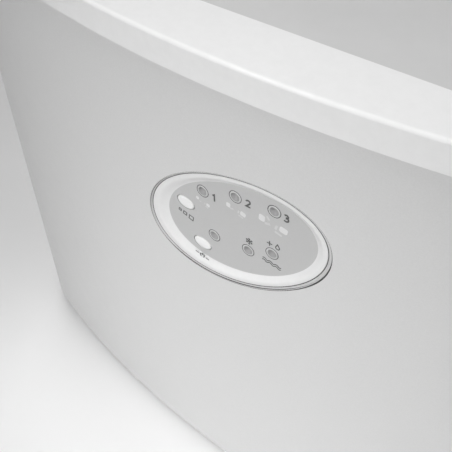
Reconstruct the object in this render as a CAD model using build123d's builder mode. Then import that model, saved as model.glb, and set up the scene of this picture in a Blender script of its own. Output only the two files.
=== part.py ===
"""Countertop ice maker with a bowed front, a hinged lid and a tilted oval control panel."""
import math
import os
from build123d import *

os.makedirs("parts", exist_ok=True)

# outer shell, millimetres; front faces -Y, the feet stand on Z = 0
shell_width = 381.4
shell_depth = 304.0
shell_bottom = 6.0
shell_height = 241.7
bow_radius = 532.0
front_corner = 40.0
rear_corner = 28.0
wall = 2.5
seam = 0.4
fit_gap = 0.3
front_panel_depth = 92.0
rear_panel_depth = 34.0

# lid and rear deck
lid_gap = 1.0
lid_overhang = 2.8
lid_thickness = 11.6
lid_wall = 5.0
lid_roof = 4.0
lid_edge_round = 1.4
lid_behind_bin = 12.0
deck_gap = 0.6
window_front = 25.6
window_width = 270.0
window_rear_margin = 34.0
window_ledge = 4.0
window_thickness = 2.2
window_corner = 14.0
inner_plate = 2.0
pin_radius = 2.0
pin_length = 44.0
pin_fit = 0.05
hinge_x = 118.0
ear_width = 22.0
ear_gap = 0.8
bumper_radius = 5.0
bumper_inset = 24.0
bumper_front_gap = 38.0
bumper_rear_gap = 20.0

# tilted oval control panel
panel_x = -5.9
panel_below_top = 65.1
panel_tilt = 23.0
panel_long = 43.95
panel_short = 25.75
overlay_long = 36.55
overlay_short = 21.2
overlay_shift = (2.0, 0.1)
overlay_depth = 2.1
overlay_thickness = 1.4
overlay_lip = 1.4
hairline = 0.55
bezel_width = 1.0
bezel_sleeve = 0.55
bezel_proud = 0.25
surround_drop = 0.6
surround_back = 8.5
dish_width = 3.6
dish_depth = 1.25
lamp_radius = 2.5
lamp_proud = 0.2
lamp_length = 2.6
size_lamps = [(-14.0, 12.05), (1.7, 17.75), (18.7, 19.75)]
state_lamps = [(-9.4, -9.05), (7.1, -7.15), (18.0, -2.35)]
lamp_spots = size_lamps + state_lamps
select_spot = (-23.6, 0.65)
power_spot = (-16.1, -17.55)
button_long = 4.35
button_short = 2.8
button_gap = 0.35
button_proud = 1.1
button_flange = 0.9
button_travel = 0.8
board_depth = 13.0
board_sheet = 1.6
switch_side = 6.0
switch_height = 3.0

# ice bin, basket and water parts
top_plate = 3.0
bin_side_gap = 40.7
bin_front_gap = 34.0
cooling_depth = 122.0
bin_bottom = 62.0
bin_wall = 2.5
bin_corner = 14.0
foam = 6.0
foam_top_gap = 6.7
ledge_width = 11.0
basket_floor = 118.0
basket_top_gap = 20.7
basket_tray_gap = 7.5
basket_wall = 2.0
basket_gap = 5.0
tray_rear_gap = 30.0
tray_top_gap = 52.7
tray_radius = 25.0
tray_wall = 2.0
tray_end_room = 38.0
stub_radius = 3.0
stub_length = 14.0
stub_fit = 0.05
finger_count = 10
finger_margin = 11.5
finger_radius = 4.5
finger_length = 35.0
manifold_side = 14.0
manifold_rise = 20.0
manifold_end_gap = 6.0
pipe_inset = 16.0
bracket_x = 60.0
bearing_gap = 6.0
pump_wall_gap = 2.5
pump_behind_tray = 10.0
pump_radius = 15.0
pump_height = 34.0
hose_radius = 4.0
hose_bore = 2.6
float_wall_gap = 25.5
float_radius = 10.0
float_height = 14.0
float_travel = 18.0
stem_radius = 2.5

# base and cooling parts
pan_sheet = 2.0
pan_height = 16.0
foot_radius = 12.0
foot_inset_x = 50.7
foot_inset_y = 57.0
comp_cond_gap = 5.0
comp_rear_gap = 9.0
comp_radius = 51.0
comp_height = 142.0
comp_plate = 3.0
grommet_radius = 8.0
grommet_height = 12.0
bolt_radius = 2.5
bolt_x = 47.0
bolt_y = 42.0
cond_side_gap = 40.7
cond_thick = 20.0
cond_depth = 96.0
cond_height = 136.0
cond_rear_gap = 12.0
cond_slots = 21
cond_pitch = 6.0
fan_z = 84.0
fan_radius = 42.0
fan_gap = 3.0
fan_blades = 7
shroud_thick = 24.0
motor_radius = 17.0
motor_length = 9.0
pipe_radius = 3.0
suction_radius = 4.0
capillary_radius = 1.5
drier_comp_gap = 30.0
drier_foam_gap = 16.7
drier_radius = 9.0
drier_length = 70.0
drain_wall_gap = 37.5
drain_seam_gap = 20.0
drain_z = 32.0
drain_radius = 8.0
drain_bore = 6.0
cap_radius = 12.0
cap_thick = 2.4
plug_length = 9.0
gland_comp_gap = 27.0
gland_z = 34.0
gland_radius = 8.0
gland_bore = 3.6
screw_radius = 1.8
screw_head = 3.4
screw_head_height = 1.8
screw_length = 10.0

# heights and places that follow from the values above
side_x = shell_width / 2
front_y = -shell_depth / 2
rear_y = shell_depth / 2
bow_y = front_y + bow_radius
front_split = front_y + front_panel_depth
rear_split = rear_y - rear_panel_depth
shell_top = shell_bottom + shell_height
panel_z = shell_top - panel_below_top
lid_bottom = shell_top + lid_gap
lid_top = lid_bottom + lid_thickness
bin_half = side_x - bin_side_gap
bin_front = front_y + bin_front_gap
bin_rear = rear_y - cooling_depth
lid_rear = bin_rear + lid_behind_bin
hinge_y = lid_rear - lid_thickness / 2
hinge_z = lid_bottom + lid_thickness / 2
nose_radius = lid_thickness / 2
pan_top = shell_bottom + pan_sheet
bin_top = shell_top - top_plate
bin_floor = bin_bottom + bin_wall
foam_top = bin_top - foam_top_gap
axis_y = bin_rear - tray_rear_gap
axis_z = bin_top - tray_top_gap
tray_half = bin_half - tray_end_room
basket_half = bin_half - bin_wall - basket_gap
basket_front = bin_front + bin_wall + basket_gap
basket_depth = axis_y - tray_radius - basket_tray_gap - basket_front
basket_height = bin_top - basket_top_gap - basket_floor
manifold_half = tray_half - manifold_end_gap
pipe_x = manifold_half - pipe_inset
pump_x = -(bin_half - bin_wall - pump_wall_gap - pump_radius)
pump_y = axis_y + pump_behind_tray
float_x = bin_half - bin_wall - float_wall_gap
drain_x = -(bin_half - bin_wall - drain_wall_gap)
drain_y = front_split + drain_seam_gap
cond_x = side_x - cond_side_gap - cond_thick / 2
cond_y = rear_y - cond_rear_gap - cond_depth / 2
comp_x = cond_x - cond_thick / 2 - comp_cond_gap - bolt_x - grommet_radius
comp_y = rear_y - comp_rear_gap - bolt_y - grommet_radius
drier_x = comp_x - comp_radius - drier_comp_gap - drier_radius
drier_y = bin_rear + fit_gap + foam + drier_foam_gap + drier_radius
gland_x = comp_x - bolt_x - grommet_radius - gland_comp_gap - gland_radius
tilt_x = math.cos(math.radians(panel_tilt))
tilt_z = math.sin(math.radians(panel_tilt))
panel_plane = Plane(origin=(panel_x, front_y, panel_z), x_dir=(tilt_x, 0, tilt_z), z_dir=(0, -1, 0))
level_plane = Plane(origin=(panel_x, front_y, panel_z), x_dir=(1, 0, 0), z_dir=(0, -1, 0))


def bow_depth(x):
    """How far the bowed face lies behind its foremost line at this X."""
    return bow_radius - math.sqrt(bow_radius**2 - x**2)


def plan_face(height, grow):
    """The plan of the body at a height, grown outwards or, if negative, inwards."""
    side = side_x + grow
    bow = bow_radius + grow
    edge_y = bow_y - math.sqrt(bow**2 - side**2)
    with BuildSketch(Plane.XY.offset(height)) as plan:
        with BuildLine():
            ThreePointArc((-side, edge_y), (0, front_y - grow), (side, edge_y))
            Polyline((side, edge_y), (side, rear_y + grow), (-side, rear_y + grow), (-side, edge_y))
        make_face()
        fillet(plan.vertices().group_by(Axis.Y)[0], front_corner + grow)
        fillet(plan.vertices().group_by(Axis.Y)[-1], rear_corner + grow)
    return plan.sketch


def bin_face(height, grow):
    """The rounded rectangle of the ice bin in plan, grown or shrunk."""
    middle = (bin_front + bin_rear) / 2
    with BuildSketch(Plane.XY.offset(height)) as plan:
        with Locations((0, middle)):
            RectangleRounded(2 * bin_half + 2 * grow, bin_rear - bin_front + 2 * grow, bin_corner + grow)
    return plan.sketch


def oval_face(depth, long_half, short_half, shift=(0, 0)):
    """An oval of the control panel, this far behind the foremost line of the face."""
    with BuildSketch(panel_plane.offset(-depth)) as oval:
        with Locations(shift):
            Ellipse(long_half, short_half)
    return oval.sketch


# bottom pan with an upturned rim
foot_x = side_x - foot_inset_x
foot_y = rear_y - foot_inset_y
foot_spots = [(-foot_x, -foot_y), (foot_x, -foot_y), (-foot_x, foot_y), (foot_x, foot_y)]
screw_corner_gap = 12.7
screw_out = side_x - rear_corner - screw_corner_gap
rear_screw_x = [-screw_out, -screw_out / 3, screw_out / 3]
rear_screw_rise = 9.0
rear_screw_z = shell_bottom + rear_screw_rise
with BuildPart() as base_pan:
    extrude(plan_face(shell_bottom, -wall - fit_gap), amount=pan_height)
    extrude(plan_face(pan_top, -wall - fit_gap - pan_sheet), amount=pan_height, mode=Mode.SUBTRACT)
    with BuildSketch(Plane.XY.offset(shell_bottom)):
        with Locations(*foot_spots):
            Circle(screw_radius)
    extrude(amount=pan_sheet, mode=Mode.SUBTRACT)
    with BuildSketch(Plane.XZ.offset(-rear_y + wall + fit_gap + pan_sheet)):
        with Locations(*[(x, rear_screw_z) for x in rear_screw_x]):
            Circle(screw_radius + fit_gap)
    extrude(amount=-2 * pan_sheet, mode=Mode.SUBTRACT)
base_pan.part.label = "base_pan"
export_step(base_pan.part, "parts/base_pan.step")

# four rubber feet with a screw recess from below
foot_recess = 4.0
with BuildPart() as rubber_feet:
    with BuildSketch():
        with Locations(*foot_spots):
            Circle(foot_radius)
    extrude(amount=shell_bottom)
    chamfer(rubber_feet.edges().group_by(Axis.Z)[0], 1.0)
    with BuildSketch():
        with Locations(*foot_spots):
            Circle(screw_head + fit_gap)
    extrude(amount=foot_recess, mode=Mode.SUBTRACT)
    with BuildSketch():
        with Locations(*foot_spots):
            Circle(screw_radius + fit_gap)
    extrude(amount=shell_bottom, mode=Mode.SUBTRACT)
rubber_feet.part.label = "rubber_feet"
export_step(rubber_feet.part, "parts/rubber_feet.step")

# pan-head screws that hold the feet
with BuildPart() as foot_screws:
    with BuildSketch(Plane.XY.offset(foot_recess)):
        with Locations(*foot_spots):
            Circle(screw_head)
    extrude(amount=-screw_head_height)
    with BuildSketch(Plane.XY.offset(foot_recess)):
        with Locations(*foot_spots):
            Circle(screw_radius)
    extrude(amount=pan_top - foot_recess)
foot_screws.part.label = "foot_screws"
export_step(foot_screws.part, "parts/foot_screws.step")

# bowed front with both front corners and the oval hole
front_plane = Plane.XZ.offset(-front_split)
with BuildPart() as front_shell:
    extrude(plan_face(shell_bottom, 0), amount=shell_height)
    extrude(plan_face(shell_bottom, -wall), amount=shell_height, mode=Mode.SUBTRACT)
    split(bisect_by=front_plane, keep=Keep.TOP)
    hole_grow = hairline + bezel_sleeve + fit_gap / 2
    extrude(oval_face(-10, panel_long + hole_grow, panel_short + hole_grow), amount=-40, mode=Mode.SUBTRACT)
front_shell.part.label = "front_shell"
export_step(front_shell.part, "parts/front_shell.step")

# side panels with louvre slots beside the condenser fan
slot_rows = 12
slot_pitch = 9.0
slot_height = 3.6
slot_length = 56.0
slot_rear_gap = 72.0
slot_y = rear_y - slot_rear_gap
with BuildPart() as right_side_panel:
    extrude(plan_face(shell_bottom, 0), amount=shell_height)
    extrude(plan_face(shell_bottom, -wall), amount=shell_height, mode=Mode.SUBTRACT)
    split(bisect_by=Plane.XZ.offset(-front_split - seam), keep=Keep.BOTTOM)
    split(bisect_by=Plane.XZ.offset(-rear_split), keep=Keep.TOP)
    split(bisect_by=Plane.YZ, keep=Keep.TOP)
    with BuildSketch(Plane.YZ.offset(side_x - 2 * wall)):
        with Locations((slot_y, fan_z)):
            with GridLocations(0, slot_pitch, 1, slot_rows):
                SlotOverall(slot_length, slot_height)
    extrude(amount=4 * wall, mode=Mode.SUBTRACT)
right_side_panel.part.label = "right_side_panel"
export_step(right_side_panel.part, "parts/right_side_panel.step")

with BuildPart() as left_side_panel:
    extrude(plan_face(shell_bottom, 0), amount=shell_height)
    extrude(plan_face(shell_bottom, -wall), amount=shell_height, mode=Mode.SUBTRACT)
    split(bisect_by=Plane.XZ.offset(-front_split - seam), keep=Keep.BOTTOM)
    split(bisect_by=Plane.XZ.offset(-rear_split), keep=Keep.TOP)
    split(bisect_by=Plane.YZ, keep=Keep.BOTTOM)
    with BuildSketch(Plane.YZ.offset(-side_x + 2 * wall)):
        with Locations((slot_y, fan_z)):
            with GridLocations(0, slot_pitch, 1, slot_rows):
                SlotOverall(slot_length, slot_height)
        with Locations((drain_y, drain_z)):
            Circle(drain_radius + fit_gap / 2)
    extrude(amount=-4 * wall, mode=Mode.SUBTRACT)
left_side_panel.part.label = "left_side_panel"
export_step(left_side_panel.part, "parts/left_side_panel.step")

# rear panel with both rear corners, air slots and the hole of the cable gland
rear_slots = 14
rear_slot_pitch = 11.0
rear_slot_length = 90.0
rear_slot_width = 4.0
rear_slot_rise = 20.0
rear_slot_margin = 21.2
rear_slot_x = -(side_x - rear_corner - rear_slot_margin) + (rear_slots - 1) * rear_slot_pitch / 2
with BuildPart() as rear_panel:
    extrude(plan_face(shell_bottom, 0), amount=shell_height)
    extrude(plan_face(shell_bottom, -wall), amount=shell_height, mode=Mode.SUBTRACT)
    split(bisect_by=Plane.XZ.offset(-rear_split - seam), keep=Keep.BOTTOM)
    with BuildSketch(Plane.XZ.offset(-rear_y - wall)):
        with Locations((rear_slot_x, fan_z + rear_slot_rise)):
            with GridLocations(rear_slot_pitch, 0, rear_slots, 1):
                SlotOverall(rear_slot_length, rear_slot_width, rotation=90)
        with Locations((gland_x, gland_z)):
            Circle(gland_radius)
        with Locations(*[(x, rear_screw_z) for x in rear_screw_x]):
            Circle(screw_radius + fit_gap / 2)
    extrude(amount=4 * wall, mode=Mode.SUBTRACT)
rear_panel.part.label = "rear_panel"
export_step(rear_panel.part, "parts/rear_panel.step")

# screws that join the rear panel to the pan
with BuildPart() as housing_screws:
    with BuildSketch(Plane.XZ.offset(-rear_y)):
        with Locations(*[(x, rear_screw_z) for x in rear_screw_x]):
            Circle(screw_head)
    extrude(amount=-screw_head_height)
    with BuildSketch(Plane.XZ.offset(-rear_y)):
        with Locations(*[(x, rear_screw_z) for x in rear_screw_x]):
            Circle(screw_radius)
    extrude(amount=screw_length)
housing_screws.part.label = "housing_screws"
export_step(housing_screws.part, "parts/housing_screws.step")

# flanged gland in the rear panel
gland_inside = wall + 4.0
gland_flange = 2.5
gland_proud = 2.2
with BuildPart() as cable_gland:
    with BuildSketch(Plane.XZ.offset(-rear_y + gland_inside)):
        with Locations((gland_x, gland_z)):
            Circle(gland_radius)
    extrude(amount=-gland_inside)
    with BuildSketch(Plane.XZ.offset(-rear_y)):
        with Locations((gland_x, gland_z)):
            Circle(gland_radius + gland_flange)
    extrude(amount=-gland_proud)
    with BuildSketch(Plane.XZ.offset(-rear_y + gland_inside)):
        with Locations((gland_x, gland_z)):
            Circle(gland_bore)
    extrude(amount=-gland_inside - gland_proud, mode=Mode.SUBTRACT)
cable_gland.part.label = "cable_gland"
export_step(cable_gland.part, "parts/cable_gland.step")

# deck plate inside the shell's rim, open over the ice bin
with BuildPart() as top_frame:
    extrude(plan_face(bin_top, -wall - fit_gap / 2), amount=top_plate)
    extrude(bin_face(bin_top, -bin_wall), amount=top_plate, mode=Mode.SUBTRACT)
top_frame.part.label = "top_frame"
export_step(top_frame.part, "parts/top_frame.step")

# fixed deck behind the lid, with two hinge ears
deck_front = lid_rear + deck_gap
deck_height = lid_top - shell_top
ear_radius = nose_radius - fit_gap
with BuildPart() as rear_deck:
    extrude(plan_face(shell_top, lid_overhang), amount=deck_height)
    split(bisect_by=Plane.XZ.offset(-deck_front), keep=Keep.BOTTOM)
    fillet(rear_deck.faces().sort_by(Axis.Z)[-1].edges(), lid_edge_round)
    extrude(plan_face(shell_top, lid_overhang - lid_wall), amount=deck_height - lid_roof, mode=Mode.SUBTRACT)
    with BuildSketch(Plane.XY.offset(shell_top)):
        with Locations((0, deck_front + lid_wall / 2)):
            Rectangle(shell_width - lid_wall, lid_wall)
    extrude(amount=deck_height - lid_roof)
    with BuildSketch(Plane.YZ.offset(-hinge_x - ear_width / 2)):
        with Locations((hinge_y, hinge_z)):
            Circle(ear_radius)
        with Locations(((hinge_y + deck_front) / 2 + 0.5, hinge_z - ear_radius / 2)):
            Rectangle(deck_front - hinge_y + 1.0, ear_radius)
    extrude(amount=ear_width)
    with BuildSketch(Plane.YZ.offset(hinge_x - ear_width / 2)):
        with Locations((hinge_y, hinge_z)):
            Circle(ear_radius)
        with Locations(((hinge_y + deck_front) / 2 + 0.5, hinge_z - ear_radius / 2)):
            Rectangle(deck_front - hinge_y + 1.0, ear_radius)
    extrude(amount=ear_width)
    with BuildSketch(Plane.YZ.offset(-hinge_x - ear_width)):
        with Locations((hinge_y, hinge_z)):
            Circle(pin_radius + pin_fit)
    extrude(amount=2 * hinge_x + 2 * ear_width, mode=Mode.SUBTRACT)
rear_deck.part.label = "rear_deck"
export_step(rear_deck.part, "parts/rear_deck.step")

# lid outer frame with a round rear edge on the hinge axis and a window opening
window_front_y = front_y - lid_overhang + window_front
window_rear_y = lid_rear - window_rear_margin
window_depth = window_rear_y - window_front_y
window_y = (window_front_y + window_rear_y) / 2
well_width = window_width - 2 * window_ledge
well_depth = window_depth - 2 * window_ledge
well_corner = window_corner - window_ledge
well_rim = 2.0
lid_side = side_x + lid_overhang
pocket_rear = hinge_y - nose_radius - 2.0
with BuildPart() as lid_frame:
    extrude(plan_face(lid_bottom, lid_overhang), amount=lid_thickness)
    split(bisect_by=Plane.XZ.offset(-hinge_y), keep=Keep.TOP)
    top_edges = lid_frame.faces().sort_by(Axis.Z)[-1].edges()
    fillet(top_edges.sort_by(Axis.Y)[:-1], lid_edge_round)
    with BuildSketch(Plane.YZ.offset(-lid_side)):
        with Locations((hinge_y, hinge_z)):
            Circle(nose_radius)
    extrude(amount=2 * lid_side)
    with BuildSketch(Plane.XY.offset(lid_top)):
        with Locations((0, window_y)):
            RectangleRounded(window_width, window_depth, window_corner)
    extrude(amount=-window_thickness, mode=Mode.SUBTRACT)
    with BuildSketch(Plane.XY.offset(lid_top)):
        with Locations((0, window_y)):
            RectangleRounded(well_width, well_depth, well_corner)
    extrude(amount=-lid_thickness, mode=Mode.SUBTRACT)
lid_pocket = plan_face(lid_bottom, lid_overhang - lid_wall)
with BuildPart() as lid_hollow:
    extrude(lid_pocket, amount=lid_thickness - lid_roof)
    split(bisect_by=Plane.XZ.offset(-pocket_rear), keep=Keep.TOP)
with BuildPart() as lid_frame_done:
    add(lid_frame.part)
    add(lid_hollow.part, mode=Mode.SUBTRACT)
    with BuildSketch(Plane.XY.offset(lid_bottom - 1.0)):
        with Locations((-hinge_x, hinge_y), (hinge_x, hinge_y)):
            Rectangle(ear_width + 2 * ear_gap, 2 * nose_radius + 2 * ear_gap)
    extrude(amount=lid_thickness + 2.0, mode=Mode.SUBTRACT)
    with BuildSketch(Plane.YZ.offset(-hinge_x - pin_length / 2)):
        with Locations((hinge_y, hinge_z)):
            Circle(pin_radius)
    extrude(amount=pin_length, mode=Mode.SUBTRACT)
    with BuildSketch(Plane.YZ.offset(hinge_x - pin_length / 2)):
        with Locations((hinge_y, hinge_z)):
            Circle(pin_radius)
    extrude(amount=pin_length, mode=Mode.SUBTRACT)
lid_frame_done.part.label = "lid_frame"
export_step(lid_frame_done.part, "parts/lid_frame.step")

# inner plate that closes the lid from below
with BuildPart() as lid_inner:
    extrude(plan_face(lid_bottom, lid_overhang - lid_wall - fit_gap), amount=inner_plate)
    split(bisect_by=Plane.XZ.offset(-pocket_rear + fit_gap), keep=Keep.TOP)
    with BuildSketch(Plane.XY.offset(lid_bottom)):
        with Locations((0, window_y)):
            RectangleRounded(well_width, well_depth, well_corner)
    extrude(amount=inner_plate, mode=Mode.SUBTRACT)
    with BuildSketch(Plane.XY.offset(lid_bottom + inner_plate)):
        with Locations((0, window_y)):
            RectangleRounded(well_width + 2 * well_rim, well_depth + 2 * well_rim, well_corner + well_rim)
            RectangleRounded(well_width, well_depth, well_corner, mode=Mode.SUBTRACT)
    extrude(amount=lid_thickness - lid_roof - inner_plate)
lid_inner.part.label = "lid_inner"
export_step(lid_inner.part, "parts/lid_inner.step")

# clear window in its recess
with BuildPart() as lid_window:
    with BuildSketch(Plane.XY.offset(lid_top - window_thickness)):
        with Locations((0, window_y)):
            RectangleRounded(window_width - fit_gap, window_depth - fit_gap, window_corner - fit_gap / 2)
    extrude(amount=window_thickness - fit_gap)
lid_window.part.label = "lid_window"
export_step(lid_window.part, "parts/lid_window.step")

# two hinge pins
with BuildPart() as hinge_pins:
    with BuildSketch(Plane.YZ.offset(-hinge_x - pin_length / 2)):
        with Locations((hinge_y, hinge_z)):
            Circle(pin_radius)
    extrude(amount=pin_length)
    with BuildSketch(Plane.YZ.offset(hinge_x - pin_length / 2)):
        with Locations((hinge_y, hinge_z)):
            Circle(pin_radius)
    extrude(amount=pin_length)
hinge_pins.part.label = "hinge_pins"
export_step(hinge_pins.part, "parts/hinge_pins.step")

# rubber stops that carry the closed lid
bumper_x = side_x - wall - bumper_inset
bumper_ys = [bin_front + bumper_front_gap, bin_rear - bumper_rear_gap]
with BuildPart() as lid_bumpers:
    with BuildSketch(Plane.XY.offset(shell_top)):
        with Locations(*[(x, y) for x in (-bumper_x, bumper_x) for y in bumper_ys]):
            Circle(bumper_radius)
    extrude(amount=lid_gap)
lid_bumpers.part.label = "lid_bumpers"
export_step(lid_bumpers.part, "parts/lid_bumpers.step")

# silver trim ring: a flange on the bowed face and a sleeve through its hole
bow_height = 4 * panel_short
sleeve_grow = hairline + bezel_sleeve
bezel_grow = hairline + bezel_width
with BuildPart() as bezel_seat:
    with BuildSketch(panel_plane.offset(10)):
        Ellipse(panel_long + 20, panel_short + 20)
        Ellipse(panel_long + sleeve_grow, panel_short + sleeve_grow, mode=Mode.SUBTRACT)
    extrude(amount=-40)
    with Locations((0, bow_y, panel_z)):
        Cylinder(bow_radius + 0.05, bow_height, mode=Mode.INTERSECT)
with BuildPart() as panel_bezel:
    with BuildSketch(panel_plane.offset(10)):
        Ellipse(panel_long + bezel_grow, panel_short + bezel_grow)
        Ellipse(panel_long + hairline, panel_short + hairline, mode=Mode.SUBTRACT)
    extrude(amount=-10 - surround_back + 1.0)
    with Locations((0, bow_y, panel_z)):
        Cylinder(bow_radius + bezel_proud, bow_height, mode=Mode.INTERSECT)
    add(bezel_seat.part, mode=Mode.SUBTRACT)
panel_bezel.part.label = "panel_bezel"
export_step(panel_bezel.part, "parts/panel_bezel.step")

# white dished surround with a pocket for the overlay and posts for the board
room_long = overlay_long + overlay_lip
room_short = overlay_short + overlay_lip
with BuildPart() as overlay_room:
    extrude(oval_face(-10, room_long, room_short, overlay_shift), amount=-40)
    with Locations((0, bow_y, panel_z)):
        Cylinder(bow_radius - overlay_depth, bow_height, mode=Mode.INTERSECT)
post_spots = [(-41.2, 0), (41.2, 0), (0, -23.8), (0, 23.8)]
post_radius = 1.7
with BuildPart() as panel_surround:
    extrude(oval_face(-10, panel_long, panel_short), amount=-10 - surround_back)
    with Locations((0, bow_y, panel_z)):
        Cylinder(bow_radius - surround_drop, bow_height, mode=Mode.INTERSECT)
    extrude(oval_face(-10, overlay_long, overlay_short, overlay_shift), amount=-40, mode=Mode.SUBTRACT)
    front_ring = panel_surround.faces().sort_by(Axis.Y)[0]
    chamfer(front_ring.inner_wires()[0].edges(), dish_width, dish_depth, reference=front_ring)
    add(overlay_room.part, mode=Mode.SUBTRACT)
    with BuildSketch(panel_plane.offset(-surround_back)):
        with Locations(*post_spots):
            Circle(post_radius)
    extrude(amount=-board_depth + surround_back)
    with BuildSketch(panel_plane.offset(-board_depth)):
        with Locations(*post_spots):
            Circle(screw_radius / 2)
    extrude(amount=4.0, mode=Mode.SUBTRACT)
panel_surround.part.label = "panel_surround"
export_step(panel_surround.part, "parts/panel_surround.step")

# grey bowed overlay with lamp and button holes
film_lip = overlay_lip - 0.1
with BuildPart() as panel_overlay:
    extrude(oval_face(-10, overlay_long + film_lip, overlay_short + film_lip, overlay_shift), amount=-40)
    with Locations((0, bow_y, panel_z)):
        Cylinder(bow_radius - overlay_depth - 0.05, bow_height, mode=Mode.INTERSECT)
    with Locations((0, bow_y, panel_z)):
        Cylinder(bow_radius - overlay_depth - overlay_thickness, bow_height, mode=Mode.SUBTRACT)
    with BuildSketch(level_plane.offset(10)):
        with Locations(*lamp_spots):
            Circle(lamp_radius + 0.05)
        with Locations(select_spot, power_spot):
            Ellipse(button_long + button_gap, button_short + button_gap)
    extrude(amount=-40, mode=Mode.SUBTRACT)
panel_overlay.part.label = "panel_overlay"
export_step(panel_overlay.part, "parts/panel_overlay.step")

# six round lamp lenses
with BuildPart() as led_lenses:
    for spot in lamp_spots:
        lamp_front = bow_depth(panel_x + spot[0]) + overlay_depth - lamp_proud
        with BuildSketch(level_plane.offset(-lamp_front)):
            with Locations(spot):
                Circle(lamp_radius)
        extrude(amount=-lamp_length)
led_lenses.part.label = "led_lenses"
export_step(led_lenses.part, "parts/led_lenses.step")

# two oval push buttons, each with a flange behind the overlay
button_spots = {"select_button": select_spot, "power_button": power_spot}
switch_front = board_depth - switch_height
for button_name, spot in button_spots.items():
    film_front = bow_depth(abs(panel_x + spot[0])) + overlay_depth
    film_back = bow_depth(abs(panel_x + spot[0]) + button_long) + overlay_depth + overlay_thickness
    flange_front = film_back + 2 * fit_gap
    with BuildPart() as button:
        with BuildSketch(level_plane.offset(-flange_front)):
            with Locations(spot):
                Ellipse(button_long, button_short)
        extrude(amount=flange_front - film_front + button_proud)
        fillet(button.faces().sort_by(Axis.Y)[0].edges(), button_proud * 0.6)
        with BuildSketch(level_plane.offset(-flange_front)):
            with Locations(spot):
                Ellipse(button_long + button_flange, button_short + button_flange)
        extrude(amount=-1.0)
        with BuildSketch(level_plane.offset(-flange_front - 1.0)):
            with Locations(spot):
                Circle(1.5)
        extrude(amount=flange_front + 1.0 - switch_front + button_travel + 0.1)
    button.part.label = button_name
    export_step(button.part, f"parts/{button_name}.step")

# small push switches behind the buttons
with BuildPart() as panel_switches:
    with BuildSketch(level_plane.offset(-board_depth)):
        with Locations(select_spot, power_spot):
            Rectangle(switch_side, switch_side)
    extrude(amount=switch_height)
panel_switches.part.label = "panel_switches"
export_step(panel_switches.part, "parts/panel_switches.step")

# control board on the posts of the surround
with BuildPart() as panel_board:
    extrude(oval_face(board_depth, panel_long - 1.0, panel_short + 0.2), amount=-board_sheet)
    with BuildSketch(panel_plane.offset(-board_depth)):
        with Locations(*post_spots):
            Circle(screw_radius / 2)
    extrude(amount=-board_sheet, mode=Mode.SUBTRACT)
panel_board.part.label = "panel_board"
export_step(panel_board.part, "parts/panel_board.step")

# screws of the control board
with BuildPart() as panel_screws:
    with BuildSketch(panel_plane.offset(-board_depth - board_sheet)):
        with Locations(*post_spots):
            Circle(post_radius)
    extrude(amount=-1.2)
    with BuildSketch(panel_plane.offset(-board_depth - board_sheet)):
        with Locations(*post_spots):
            Circle(screw_radius / 2 - 0.02)
    extrude(amount=board_sheet + 3.0)
panel_screws.part.label = "panel_screws"
export_step(panel_screws.part, "parts/panel_screws.step")

# moulded ice bin with ledges for the basket; its lower part holds the water
ledge_x = bin_half - bin_wall - ledge_width / 2
ledge_thick = 3.0
basket_y = basket_front + basket_depth / 2
manifold_bottom = axis_z + manifold_rise
manifold_middle = manifold_bottom + manifold_side / 2
pipe_gap = 0.2
with BuildPart() as inner_liner:
    extrude(bin_face(bin_bottom, 0), amount=bin_top - bin_bottom)
    extrude(bin_face(bin_floor, -bin_wall), amount=bin_top - bin_floor, mode=Mode.SUBTRACT)
    with BuildSketch(Plane.XY.offset(basket_floor)):
        with Locations((-ledge_x, basket_y), (ledge_x, basket_y)):
            Rectangle(ledge_width, basket_depth - 2 * bin_corner)
    extrude(amount=-ledge_thick)
    with BuildSketch(Plane.XZ.offset(-bin_rear - 1.0)):
        with Locations((pipe_x, manifold_middle)):
            Circle(suction_radius + pipe_gap)
        with Locations((-pipe_x, manifold_middle)):
            Circle(capillary_radius + pipe_gap)
    extrude(amount=bin_wall + 2.0, mode=Mode.SUBTRACT)
    with BuildSketch(Plane.XY.offset(bin_bottom)):
        with Locations((drain_x, drain_y)):
            Circle(drain_bore)
    extrude(amount=bin_wall, mode=Mode.SUBTRACT)
inner_liner.part.label = "inner_liner"
export_step(inner_liner.part, "parts/inner_liner.step")

# foam jacket round the bin
with BuildPart() as foam_jacket:
    extrude(bin_face(bin_bottom - foam, fit_gap + foam), amount=foam_top - bin_bottom + foam)
    extrude(bin_face(bin_bottom, fit_gap), amount=foam_top - bin_bottom, mode=Mode.SUBTRACT)
    with BuildSketch(Plane.XZ.offset(-bin_rear - 2 * foam)):
        with Locations((pipe_x, manifold_middle)):
            Circle(suction_radius + pipe_gap)
        with Locations((-pipe_x, manifold_middle)):
            Circle(capillary_radius + pipe_gap)
    extrude(amount=2 * foam, mode=Mode.SUBTRACT)
    with BuildSketch(Plane.XY.offset(bin_bottom - foam)):
        with Locations((drain_x, drain_y)):
            Circle(drain_radius + pipe_gap)
    extrude(amount=foam, mode=Mode.SUBTRACT)
foam_jacket.part.label = "foam_jacket"
export_step(foam_jacket.part, "parts/foam_jacket.step")

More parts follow.
